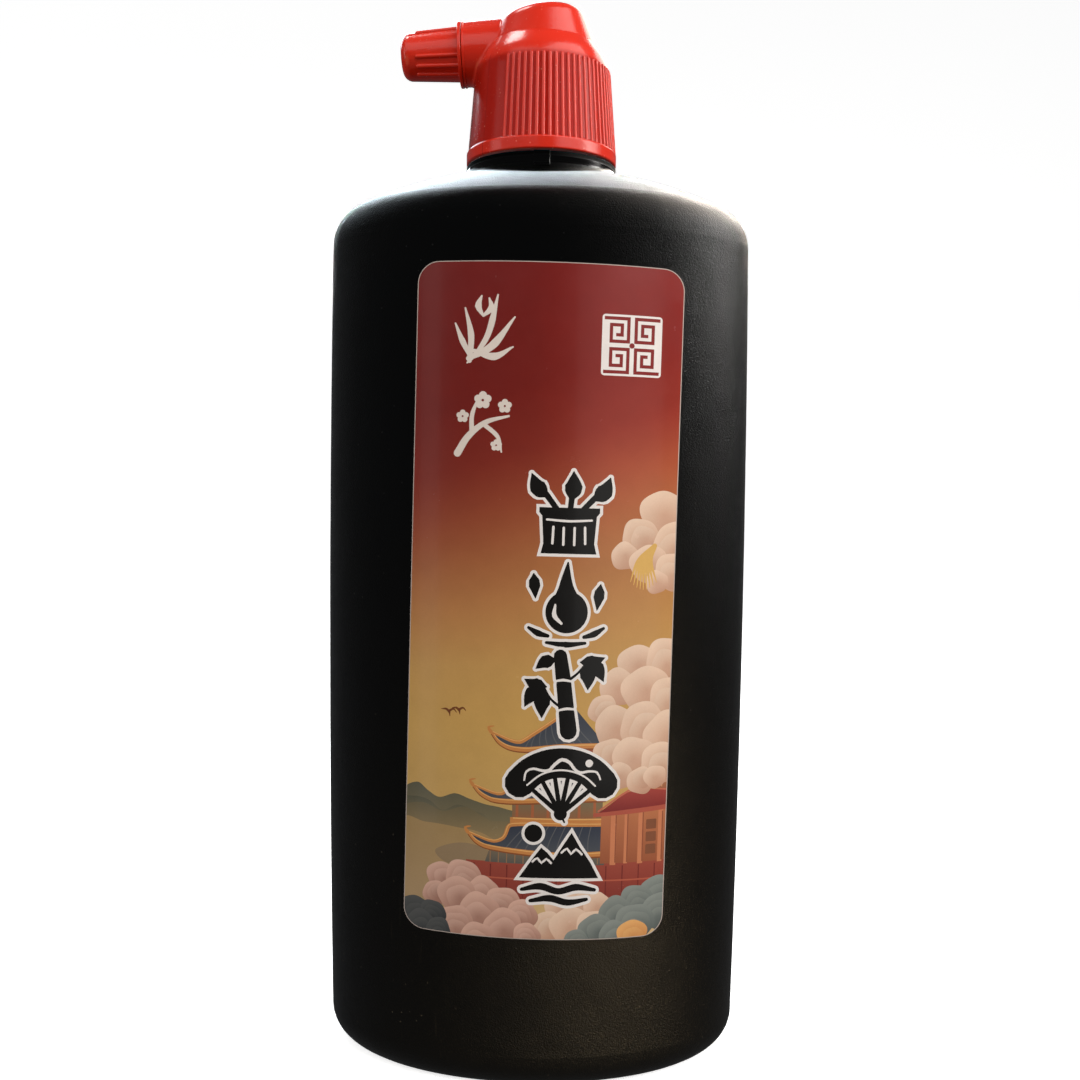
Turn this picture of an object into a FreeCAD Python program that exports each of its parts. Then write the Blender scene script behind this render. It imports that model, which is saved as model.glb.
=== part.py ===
"""Ink bottle: an oval plastic bottle with a screw-on dispensing cap, whose side spout has its own small cap.

Millimetres, +Z up. The origin is the centre of the foot, on the surface that the bottle stands on.
The label faces -Y and the spout points along -X. Each function makes one separate piece of the bottle,
and each piece is written to parts/NAME.step.
"""

import FreeCAD, Part
import math
import os

from FreeCAD import Matrix, Vector

# Bottle body: an oval tube, slightly barrelled, under a low dome. A = half width, B = half depth.
BODY_A = 42.5
BODY_B = 25.5
BARREL_FOOT = 0.95  # how far the wall pulls in at the foot
BARREL_TOP = 0.6  # and just under the dome
BARREL_Z = 88.0  # height of the widest section
DOME_R = 89.0  # radius of the dome's arc, seen from the front
DOME_CENTRE_Z = 89.2
DOME_FLAT_R = 5.0  # the very top is flat, where the neck's bore takes it away
SHOULDER_FILLET = 8.6
FOOT_FILLET = 6.7
FOOT_TRIM = 0.01
WALL = 1.0

# Push-up in the base, which leaves an oval foot ring to stand on
PUSH_UP_R = 31.5
PUSH_UP_SLOPE = 3.6
PUSH_UP_H = 2.6
PUSH_UP_CROWN = 0.8
PUSH_UP_FILLET = 1.2

# Neck
COLLAR_R = 15.1
COLLAR_TOP_Z = 178.4
COLLAR_FILLET = 0.9
NECK_R = 11.75
NECK_BORE_R = 10.45
LIP_Z = 193.7
LIP_FILLET = 0.45
BEAD_R = 12.55
BEAD_Z = 179.9
BEAD_HALF = 0.5
LUG_WIDTH = 3.1
LUG_HEIGHT = 2.6
LUG_PROUD = 0.4
LUG_ANGLE = 2.0  # degrees round from the middle of the front

# Thread: one and a half turns on the neck, one and a quarter in the cap, right handed
PITCH = 4.0
THREAD_CREST_R = 12.55
THREAD_TURNS = 1.5
THREAD_Z = 184.0
THREAD_ROOT_HALF = 1.0
THREAD_CREST_HALF = 0.5
THREAD_BITE = 0.25  # how deep the ridge is sunk into the wall that carries it
CAP_THREAD_CREST_R = 12.05
CAP_THREAD_TURNS = 1.25
CAP_THREAD_START = 60.0  # degrees round from the start of the neck's thread

# Dispensing cap
RIM_Z = 178.9
BAND_TOP_Z = 181.2
BAND_R = 15.1
BAND_EDGE = 0.35
SKIRT_FOOT_R = 14.8
SKIRT_TOP_R = 13.4
SKIRT_TOP_Z = 198.8
CAP_BORE_R = 12.8
CAP_MOUTH_R = 13.3  # the bore widens here, to clear the neck's bead and lead the thread in
CAP_MOUTH_DEPTH = 2.0
CAP_CEILING_Z = 195.5
CAP_SHOULDER_FILLET = 9.0

# Turret: a tapered tower on the cap's sloping top, under a dome that falls away towards the spout
TURRET_FOOT_R = 10.85
TURRET_FOOT_Z = 202.5
TURRET_TAPER = 0.4  # loss of radius with height
TURRET_FOOT_FILLET = 1.5
TURRET_DOME_R = 17.0
TURRET_DOME_X = 1.6
TURRET_TOP_Z = 210.7
TURRET_FILLET = 3.0
JOIN_FILLET = 0.8

# Grip ribs all round the skirt, but for a smooth panel under the spout
RIB_STEP = 5.0
RIB_COUNT = 48
RIB_R = 0.4
RIB_SINK = 0.15
RIB_FOOT_Z = 180.6
RIB_TOP_Z = 197.2

# Spout, along -X, which droops a little. Distances out are measured along it.
SPOUT_Z = 202.2
SPOUT_DROOP = 3.0
SPOUT_ROOT_R = 6.8
SPOUT_END_R = 6.12
SPOUT_END = 16.0
SPOUT_LIP_R = 6.3
SPOUT_LIP_T = 0.4
SPOUT_BEVEL = 0.12
SPOUT_BORE_R = 4.6
SPOUT_WALL = 1.6
TIP_FOOT_R = 3.05
TIP_END_R = 2.75
TIP_END = 26.2
TIP_EDGE = 0.5
TIP_BORE_R = 1.5

# Pour chamber, from the neck up into the turret
CHAMBER_FOOT_R = 9.0
CHAMBER_EAVES_R = 8.9
CHAMBER_EAVES_Z = 202.0
CHAMBER_TOP_Z = 207.3
CHAMBER_SHOULDER = (6.3, 205.6)  # a point that the chamber's rounded top passes through

# Sealing washer, between the lip and the cap's ceiling
WASHER_OUTER_R = 12.5
WASHER_INNER_R = 9.4
WASHER_SLACK = 0.05
WASHER_EDGE = 0.25

# Nozzle cap: a push-on cap over the spout's tip
NOZZLE_GAP = 0.12
FLANGE_R = 6.3
FLANGE_T = 0.7
FLANGE_EDGE = 0.2
NOZZLE_FOOT_R = 5.1
NOZZLE_END_R = 4.4
NOZZLE_END = 28.35
NOZZLE_END_FILLET = 1.9
NOZZLE_BORE_R = 3.2
NOZZLE_MOUTH_R = 3.9
NOZZLE_MOUTH_DEPTH = 3.5
NOZZLE_FLOOR = 26.6
NOZZLE_RIB_R = 0.45
NOZZLE_RIB_SINK = 0.06
NOZZLE_RIB_START = 24.9
NOZZLE_RIB_GROUPS = (-40.0, 80.0, 200.0)
NOZZLE_RIB_STEP = 22.5

# Front label
LABEL_W = 49.7
LABEL_H = 126.0
LABEL_T = 0.15
LABEL_CORNER = 4.0
LABEL_X = 1.75  # it is stuck on a little to one side,
LABEL_Z = 92.7
LABEL_LEAN = 1.0  # and leans by this many degrees

# Ink
INK_LEVEL_Z = 161.0
INK_GAP = 0.1

UP = Vector(0, 0, 1)
ORIGIN = Vector(0, 0, 0)


def at(r, z):
    """A point of a profile: a distance from the Z axis and a height."""
    return Vector(r, 0, z)


def line(start, end):
    return Part.LineSegment(start, end).toShape()


def arc(start, middle, end):
    return Part.Arc(start, middle, end).toShape()


def revolved(edges, axis_point=ORIGIN, axis=UP):
    """The solid that a closed profile sweeps out in one turn."""
    face = Part.Face(Part.Wire(Part.__sortEdges__(edges)))
    return solid_of(face.revolve(axis_point, axis, 360))


def turned(points, axis_point=ORIGIN, axis=UP):
    """A solid of revolution whose profile is a polygon."""
    ring = list(zip(points, points[1:] + points[:1]))
    return revolved([line(a, b) for a, b in ring], axis_point, axis)


def solid_of(shape):
    """The one solid in a shape, facing outwards."""
    solid = shape.Solids[0] if shape.Solids else Part.makeSolid(shape)
    if solid.Volume < 0:
        solid.reverse()
    return solid


def circles(shape):
    return [e for e in shape.Edges if not e.Degenerated and isinstance(e.Curve, Part.Circle)]


def rings(shape, radius, height, slack=0.06):
    """The circular edges of a turned solid at one radius and one height."""
    found = []
    for edge in circles(shape):
        if abs(edge.Curve.Radius - radius) < slack and abs(edge.Curve.Center.z - height) < slack:
            found.append(edge)
    return found


def squashed(shape, factor):
    """The shape scaled along Y, which turns round sections into oval ones."""
    matrix = Matrix()
    matrix.scale(1, factor, 1)
    return solid_of(shape.transformGeometry(matrix))


def rod(radius, start, end):
    """A cylinder from one point to another."""
    return Part.makeCylinder(radius, (end - start).Length, start, end - start)


def out(distance, r=0.0):
    """A point of the spout's profile, before it droops: a distance out along -X and one off its axis."""
    return Vector(-distance, 0, SPOUT_Z + r)


def along_spout(points):
    """A solid turned about the spout's axis."""
    return drooped(turned(points, out(0), Vector(-1, 0, 0)))


def drooped(shape):
    shape.rotate(out(0), Vector(0, 1, 0), -SPOUT_DROOP)
    return shape


# ---- bottle body


def oval(offset, foot_z=0.0):
    """The bottle's outer form, grown by offset: an oval barrel under a dome."""
    a = BODY_A + offset
    dome_r = DOME_R + offset
    foot = at(a - BARREL_FOOT, foot_z)
    eaves = dome_point(dome_r, a - BARREL_TOP)
    flat = dome_point(dome_r, DOME_FLAT_R)
    solid = revolved(
        [
            line(at(0, foot_z), foot),
            arc(foot, at(a, BARREL_Z), eaves),
            arc(eaves, dome_point(dome_r, (eaves.x + flat.x) / 2), flat),
            line(flat, at(0, flat.z)),
            line(at(0, flat.z), at(0, foot_z)),
        ]
    )
    solid = solid.makeFillet(FOOT_FILLET + offset, rings(solid, foot.x, foot.z))
    solid = solid.makeFillet(SHOULDER_FILLET + offset, rings(solid, eaves.x, eaves.z))
    return squashed(solid, (BODY_B + offset) / a)


def dome_point(dome_r, r):
    """The point at radius r on the dome's arc."""
    return at(r, DOME_CENTRE_Z + math.sqrt(dome_r**2 - r**2))


def push_up(grow=0.0):
    """The hollow under the base, grown by the wall for the inside of the bottle."""
    r = PUSH_UP_R + grow
    top_r = r - PUSH_UP_SLOPE
    top_z = PUSH_UP_H + grow
    crown = at(0, top_z + PUSH_UP_CROWN)
    halfway = at(top_r / 2, top_z + PUSH_UP_CROWN * 0.75)
    solid = revolved(
        [
            line(at(0, -1), at(r, -1)),
            line(at(r, -1), at(r, grow)),
            line(at(r, grow), at(top_r, top_z)),
            arc(at(top_r, top_z), halfway, crown),
            line(crown, at(0, -1)),
        ]
    )
    solid = solid.makeFillet(PUSH_UP_FILLET + grow, rings(solid, top_r, top_z))
    return squashed(solid, (BODY_B + grow) / (BODY_A + grow))


def cavity(gap=0.0):
    """The space inside the body, short of its wall by gap."""
    inset = WALL + gap
    return oval(-inset, foot_z=inset).cut(push_up(inset))


def thread_ridge(root_r, crest_r, turns, start_z):
    """A helical ridge that rises from root_r to crest_r, with a tapered section."""
    sunk_r = root_r + math.copysign(THREAD_BITE, root_r - crest_r)
    slope = (THREAD_ROOT_HALF - THREAD_CREST_HALF) / abs(crest_r - root_r)
    sunk_half = THREAD_ROOT_HALF + slope * THREAD_BITE
    corners = [
        Vector(sunk_r, 0, -sunk_half),
        Vector(crest_r, 0, -THREAD_CREST_HALF),
        Vector(crest_r, 0, THREAD_CREST_HALF),
        Vector(sunk_r, 0, sunk_half),
    ]
    section = Part.makePolygon(corners + corners[:1])
    helix = Part.makeHelix(PITCH, PITCH * turns, (root_r + crest_r) / 2)
    sweep = Part.BRepOffsetAPI.MakePipeShell(Part.Wire(helix.Edges))
    sweep.setFrenetMode(True)
    sweep.add(section)
    sweep.build()
    sweep.makeSolid()
    ridge = solid_of(sweep.shape())
    ridge.translate(Vector(0, 0, start_z))
    return ridge


def neck():
    """Collar, neck, bead and lip, with a stopping lug at the front."""
    foot_z = COLLAR_TOP_Z - SHOULDER_FILLET
    column = Part.makeCylinder(NECK_R, LIP_Z - foot_z, at(0, foot_z))
    column = column.makeFillet(LIP_FILLET, rings(column, NECK_R, LIP_Z))
    collar = Part.makeCylinder(COLLAR_R, COLLAR_TOP_Z - foot_z, at(0, foot_z))
    bead = turned(
        [
            at(NECK_R - THREAD_BITE, BEAD_Z - 2 * BEAD_HALF),
            at(BEAD_R, BEAD_Z - BEAD_HALF),
            at(BEAD_R, BEAD_Z + BEAD_HALF),
            at(NECK_R - THREAD_BITE, BEAD_Z + 2 * BEAD_HALF),
        ]
    )
    corner = Vector(-LUG_WIDTH / 2, -COLLAR_R - LUG_PROUD, COLLAR_TOP_Z - LUG_HEIGHT)
    lug = Part.makeBox(LUG_WIDTH, COLLAR_R, LUG_HEIGHT, corner)
    upright = [e for e in lug.Edges if abs(e.tangentAt(0).z) > 0.9 and e.CenterOfMass.y < -COLLAR_R]
    lug = lug.makeFillet(LUG_PROUD / 2, upright)
    lug.rotate(ORIGIN, UP, LUG_ANGLE)
    return column, collar, bead, lug


def bottle_body():
    column, collar, bead, lug = neck()
    shell = oval(0, foot_z=-FOOT_TRIM).fuse(collar)
    shell = with_fillet(shell, COLLAR_FILLET, collar_foot(shell))
    ridge = thread_ridge(NECK_R, THREAD_CREST_R, THREAD_TURNS, THREAD_Z)
    shell = shell.fuse([column, bead, lug]).fuse(ridge)
    bore = Part.makeCylinder(NECK_BORE_R, LIP_Z, at(0, COLLAR_TOP_Z - SHOULDER_FILLET))
    return solid_of(standing(shell.cut(push_up()).cut(cavity().fuse(bore))))


def standing(shape):
    """The shape cut level at the ground, so that its foot is a true plane."""
    corner = Vector(-2 * BODY_A, -2 * BODY_B, -BODY_B)
    return shape.cut(Part.makeBox(4 * BODY_A, 4 * BODY_B, BODY_B, corner))


def collar_foot(shell):
    """The edges where the collar rises out of the dome."""
    found = []
    for edge in shell.Edges:
        if edge.Degenerated:
            continue
        middle = edge.valueAt((edge.FirstParameter + edge.LastParameter) / 2)
        on_collar = abs(math.hypot(middle.x, middle.y) - COLLAR_R) < 0.05
        if on_collar and middle.z < COLLAR_TOP_Z - 0.5 and edge.Length > 5:
            found.append(edge)
    return found


def with_fillet(shape, radius, edges):
    """The shape with those edges rounded, which has to leave one sound solid."""
    rounded = solid_of(shape.makeFillet(radius, edges))
    if not rounded.isValid():
        raise ValueError("a fillet of %.2f mm left a broken solid" % radius)
    return rounded


# ---- dispensing cap


def dome_centre():
    return Vector(TURRET_DOME_X, 0, TURRET_TOP_Z - TURRET_DOME_R)


def turret_r(z):
    """The radius of the turret's wall at a height."""
    return TURRET_FOOT_R - TURRET_TAPER * (z - TURRET_FOOT_Z)


def cap_blank():
    """The cap's outside but for its spout: rim band, tapered skirt, sloping top and turret."""
    eaves_z = (TURRET_FOOT_Z + SKIRT_TOP_Z) / 2
    column = turned(
        [
            at(0, RIM_Z),
            at(BAND_R, RIM_Z),
            at(BAND_R, BAND_TOP_Z),
            at(SKIRT_FOOT_R, BAND_TOP_Z + BAND_EDGE),
            at(SKIRT_TOP_R, SKIRT_TOP_Z),
            at(TURRET_FOOT_R, TURRET_FOOT_Z),
            at(turret_r(TURRET_TOP_Z + 1), TURRET_TOP_Z + 1),
            at(0, TURRET_TOP_Z + 1),
        ]
    )
    column = column.makeFillet(CAP_SHOULDER_FILLET, rings(column, SKIRT_TOP_R, SKIRT_TOP_Z))
    column = column.makeFillet(TURRET_FOOT_FILLET, rings(column, TURRET_FOOT_R, TURRET_FOOT_Z))
    column = column.makeFillet(BAND_EDGE, rings(column, BAND_R, RIM_Z) + rings(column, BAND_R, BAND_TOP_Z))
    dome = Part.makeSphere(TURRET_DOME_R, dome_centre())
    above = Part.makeCylinder(BAND_R, BAND_R, at(0, eaves_z)).cut(dome)
    solid = solid_of(column.cut(above))
    return solid.makeFillet(TURRET_FILLET, dome_edges(solid))


def dome_edges(shape):
    """The edges where the turret's wall meets its dome."""
    found = []
    for edge in shape.Edges:
        if edge.Degenerated:
            continue
        ends = [edge.valueAt(t) for t in (edge.FirstParameter, edge.LastParameter)]
        on_dome = all(abs((p - dome_centre()).Length - TURRET_DOME_R) < 0.01 for p in ends)
        on_wall = all(abs(math.hypot(p.x, p.y) - turret_r(p.z)) < 0.01 for p in ends)
        if on_dome and on_wall:
            found.append(edge)
    return found


def spout():
    """The spout's tapered tube, with a low lip round its end."""
    lip = SPOUT_END - SPOUT_LIP_T
    return along_spout(
        [
            out(0),
            out(0, SPOUT_ROOT_R),
            out(lip - SPOUT_BEVEL, SPOUT_END_R),
            out(lip, SPOUT_LIP_R),
            out(SPOUT_END - SPOUT_BEVEL, SPOUT_LIP_R),
            out(SPOUT_END, SPOUT_LIP_R - SPOUT_BEVEL),
            out(SPOUT_END),
        ]
    )


def tip():
    """The thin nozzle beyond the spout's end wall."""
    return along_spout(
        [
            out(SPOUT_END - 1),
            out(SPOUT_END - 1, TIP_FOOT_R),
            out(TIP_END - TIP_EDGE, TIP_END_R),
            out(TIP_END, TIP_END_R - TIP_EDGE),
            out(TIP_END),
        ]
    )


def grip_ribs():
    """Ribs up the skirt, each a rod half sunk in its wall, with a round top end."""
    taper = (SKIRT_FOOT_R - SKIRT_TOP_R) / (SKIRT_TOP_Z - BAND_TOP_Z)
    foot = at(SKIRT_FOOT_R - RIB_SINK - taper * (RIB_FOOT_Z - BAND_TOP_Z), RIB_FOOT_Z)
    length = (RIB_TOP_Z - RIB_FOOT_Z) * math.hypot(1, taper)
    shoulder = at(-RIB_R * math.sin(math.pi / 4), length + RIB_R * math.cos(math.pi / 4))
    rib = revolved(
        [
            line(at(0, 0), at(-RIB_R, 0)),
            line(at(-RIB_R, 0), at(-RIB_R, length)),
            arc(at(-RIB_R, length), shoulder, at(0, length + RIB_R)),
            line(at(0, length + RIB_R), at(0, 0)),
        ]
    )
    rib.rotate(ORIGIN, Vector(0, 1, 0), -math.degrees(math.atan(taper)))
    rib.translate(foot)
    ribs = []
    for index in range(RIB_COUNT):
        copy = solid_of(rib.copy())
        copy.rotate(ORIGIN, UP, (index - (RIB_COUNT - 1) / 2) * RIB_STEP)
        ribs.append(copy)
    return ribs


def cap_bore():
    """The threaded bore, wider at its mouth."""
    mouth_top = RIM_Z + CAP_MOUTH_DEPTH
    lead = CAP_MOUTH_R - CAP_BORE_R
    return turned(
        [
            at(0, RIM_Z - 1),
            at(CAP_MOUTH_R, RIM_Z - 1),
            at(CAP_MOUTH_R, mouth_top),
            at(CAP_BORE_R, mouth_top + lead),
            at(CAP_BORE_R, CAP_CEILING_Z),
            at(0, CAP_CEILING_Z),
        ]
    )


def pour_ways():
    """The chamber that opens up into the turret, the spout's bore and the fine bore of its tip."""
    foot_z = CAP_CEILING_Z - 1
    eaves = at(CHAMBER_EAVES_R, CHAMBER_EAVES_Z)
    chamber = revolved(
        [
            line(at(0, foot_z), at(CHAMBER_FOOT_R, foot_z)),
            line(at(CHAMBER_FOOT_R, foot_z), eaves),
            arc(eaves, at(*CHAMBER_SHOULDER), at(0, CHAMBER_TOP_Z)),
            line(at(0, CHAMBER_TOP_Z), at(0, foot_z)),
        ]
    )
    bore = drooped(rod(SPOUT_BORE_R, out(0), out(SPOUT_END - SPOUT_WALL)))
    fine = drooped(rod(TIP_BORE_R, out(0), out(TIP_END + 1)))
    return [chamber, bore, fine]


def joins(shape):
    """The concave edges where the spout grows out of the cap."""
    found = []
    level = FreeCAD.Rotation(Vector(0, 1, 0), SPOUT_DROOP)
    for edge in shape.Edges:
        if edge.Degenerated:
            continue
        middle = level.multVec(edge.valueAt((edge.FirstParameter + edge.LastParameter) / 2) - out(0))
        start = level.multVec(edge.valueAt(edge.FirstParameter) - out(0))
        off_axis = math.hypot(middle.y, middle.z)
        share = -middle.x / (SPOUT_END - SPOUT_LIP_T - SPOUT_BEVEL)
        surface_r = SPOUT_ROOT_R + (SPOUT_END_R - SPOUT_ROOT_R) * share
        seam = abs(middle.y) < 0.01 and abs(start.y) < 0.01
        if abs(off_axis - surface_r) < 0.02 and 2 < -middle.x < SPOUT_END - 1 and not seam:
            found.append(edge)
    return found


def dispensing_cap():
    blank = cap_blank().fuse(spout())
    blank = with_fillet(blank, JOIN_FILLET, joins(blank))
    ridge = thread_ridge(CAP_BORE_R, CAP_THREAD_CREST_R, CAP_THREAD_TURNS, THREAD_Z - PITCH / 2)
    ridge.rotate(ORIGIN, UP, CAP_THREAD_START)
    ridge.translate(Vector(0, 0, PITCH * CAP_THREAD_START / 360))
    ribbed = blank.fuse(grip_ribs())
    hollow = ribbed.fuse(tip()).cut([cap_bore()] + pour_ways())
    return solid_of(hollow.fuse(ridge))


# ---- small pieces


def sealing_washer():
    foot = LIP_Z + WASHER_SLACK
    height = CAP_CEILING_Z - WASHER_SLACK - foot
    ring = Part.makeCylinder(WASHER_OUTER_R, height, at(0, foot))
    ring = ring.cut(Part.makeCylinder(WASHER_INNER_R, height, at(0, foot)))
    corners = rings(ring, WASHER_OUTER_R, foot) + rings(ring, WASHER_OUTER_R, foot + height)
    return solid_of(ring.makeChamfer(WASHER_EDGE, corners))


def nozzle_cap():
    mouth = SPOUT_END + NOZZLE_GAP
    flange = mouth + FLANGE_T
    solid = turned(
        [
            out(mouth),
            out(mouth, FLANGE_R),
            out(flange, FLANGE_R),
            out(flange, NOZZLE_FOOT_R),
            out(NOZZLE_END, NOZZLE_END_R),
            out(NOZZLE_END),
        ],
        out(0),
        Vector(-1, 0, 0),
    )
    end = [e for e in circles(solid) if abs(e.Curve.Center.x + NOZZLE_END) < 0.01]
    solid = solid.makeFillet(NOZZLE_END_FILLET, end)
    brim = [e for e in circles(solid) if abs(e.Curve.Radius - FLANGE_R) < 0.01]
    solid = solid.makeFillet(FLANGE_EDGE, brim)
    wide = rod(NOZZLE_MOUTH_R, out(0), out(mouth + NOZZLE_MOUTH_DEPTH))
    bore = rod(NOZZLE_BORE_R, out(0), out(NOZZLE_FLOOR))
    return drooped(solid_of(solid.fuse(nozzle_ribs(flange)).cut([wide, bore])))


def nozzle_ribs(flange):
    """Three groups of three grip ribs, each a rod sunk in the cap's wall, with a round end."""
    ribs = []
    for centre in NOZZLE_RIB_GROUPS:
        for step in (-1, 0, 1):
            start = out(NOZZLE_RIB_START, nozzle_r(NOZZLE_RIB_START) - NOZZLE_RIB_SINK)
            end = out(flange - FLANGE_T / 2, nozzle_r(flange) - NOZZLE_RIB_SINK)
            rib = rod(NOZZLE_RIB_R, start, end).fuse(Part.makeSphere(NOZZLE_RIB_R, start))
            rib = solid_of(rib.removeSplitter())
            # Angles run from the front (-Y) up towards +Z.
            rib.rotate(out(0), Vector(1, 0, 0), 90 - (centre + step * NOZZLE_RIB_STEP))
            ribs.append(rib)
    return ribs


def nozzle_r(distance):
    """The radius of the nozzle cap's wall at a distance out along the spout."""
    foot = SPOUT_END + NOZZLE_GAP + FLANGE_T
    return NOZZLE_FOOT_R + (NOZZLE_END_R - NOZZLE_FOOT_R) * (distance - foot) / (NOZZLE_END - foot)


def front_label():
    """A thin skin on the front wall, with rounded corners."""
    half_w, half_h = LABEL_W / 2, LABEL_H / 2
    corners = [(-half_w, -half_h), (half_w, -half_h), (half_w, half_h), (-half_w, half_h)]
    points = [Vector(x, 0, z) for x, z in corners]
    prism = Part.Face(Part.makePolygon(points + points[:1])).extrude(Vector(0, -2 * BODY_B, 0))
    prism = prism.makeFillet(LABEL_CORNER, [e for e in prism.Edges if abs(e.tangentAt(0).y) > 0.9])
    prism.rotate(ORIGIN, Vector(0, 1, 0), LABEL_LEAN)
    prism.translate(Vector(LABEL_X, 0, LABEL_Z))
    return solid_of(oval(LABEL_T).common(prism).cut(oval(0)))


def ink_fill():
    """The ink, as it lies in the standing bottle."""
    above = Part.makeBox(4 * BODY_A, 4 * BODY_B, LIP_Z, Vector(-2 * BODY_A, -2 * BODY_B, INK_LEVEL_Z))
    return solid_of(cavity(INK_GAP).cut(above))


PIECES = {
    "bottle_body": bottle_body,
    "front_label": front_label,
    "ink_fill": ink_fill,
    "sealing_washer": sealing_washer,
    "dispensing_cap": dispensing_cap,
    "nozzle_cap": nozzle_cap,
}


def main():
    os.makedirs("parts", exist_ok=True)
    for name, make in PIECES.items():
        piece = make()
        piece.exportStep("parts/%s.step" % name)
        print("%-16s valid %s, %.1f mm3" % (name, piece.isValid(), piece.Volume))
    print("inside of the body %.0f ml" % (cavity().Volume / 1000))


main()
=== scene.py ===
"""The ink bottle's looks: plastics, printed label, studio and camera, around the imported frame."""
import math

import bpy
import numpy as np
from mathutils import Matrix, Vector, geometry


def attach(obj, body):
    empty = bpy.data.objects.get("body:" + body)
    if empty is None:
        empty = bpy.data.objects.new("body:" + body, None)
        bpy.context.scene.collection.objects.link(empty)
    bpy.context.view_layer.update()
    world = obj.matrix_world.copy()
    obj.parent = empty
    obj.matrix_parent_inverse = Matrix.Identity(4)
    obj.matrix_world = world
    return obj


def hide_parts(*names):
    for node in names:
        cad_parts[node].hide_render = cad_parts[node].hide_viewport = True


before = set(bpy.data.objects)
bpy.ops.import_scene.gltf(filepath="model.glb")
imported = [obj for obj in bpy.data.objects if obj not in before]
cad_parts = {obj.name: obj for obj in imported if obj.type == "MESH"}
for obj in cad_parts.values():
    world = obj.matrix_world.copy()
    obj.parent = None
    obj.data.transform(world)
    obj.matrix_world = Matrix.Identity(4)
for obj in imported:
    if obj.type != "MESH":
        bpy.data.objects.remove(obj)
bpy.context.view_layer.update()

MM = 0.001

# ---------------------------------------------------------------- camera
CAMERA_AT = (6.44, -236.91, 116.75)  # mm
CAMERA_LENS = 38.334  # mm
CAMERA_SENSOR = 36.0
CAMERA_PITCH = 3.194  # degrees, looking down
CAMERA_YAW = 1.393
CAMERA_ROLL = 0.710


def make_camera():
    """The photograph's view, from just right of the bottle's front and a little above its middle."""
    pitch, yaw, roll = (math.radians(a) for a in (CAMERA_PITCH, CAMERA_YAW, CAMERA_ROLL))
    ahead = Vector((
        -math.sin(yaw) * math.cos(pitch), math.cos(yaw) * math.cos(pitch), -math.sin(pitch),
    ))
    level = Vector((math.cos(yaw), math.sin(yaw), 0))
    upward = level.cross(ahead)
    right = math.cos(roll) * level + math.sin(roll) * upward
    up = math.cos(roll) * upward - math.sin(roll) * level
    data = bpy.data.cameras.new("camera")
    data.lens = CAMERA_LENS
    data.sensor_width = CAMERA_SENSOR
    data.clip_start = 0.01
    data.clip_end = 20.0
    camera = bpy.data.objects.new("camera", data)
    camera.matrix_world = Matrix.Translation(Vector(CAMERA_AT) * MM) @ Matrix(
        (right, up, -ahead)
    ).transposed().to_4x4()
    bpy.context.scene.collection.objects.link(camera)
    bpy.context.scene.camera = camera


# ---------------------------------------------------------------- node helpers
def linear(rgb):
    """0-255 display colour to the linear colour that Blender works in."""
    c = np.asarray(rgb, float) / 255.0
    return np.where(c <= 0.04045, c / 12.92, ((c + 0.055) / 1.055) ** 2.4)


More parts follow.
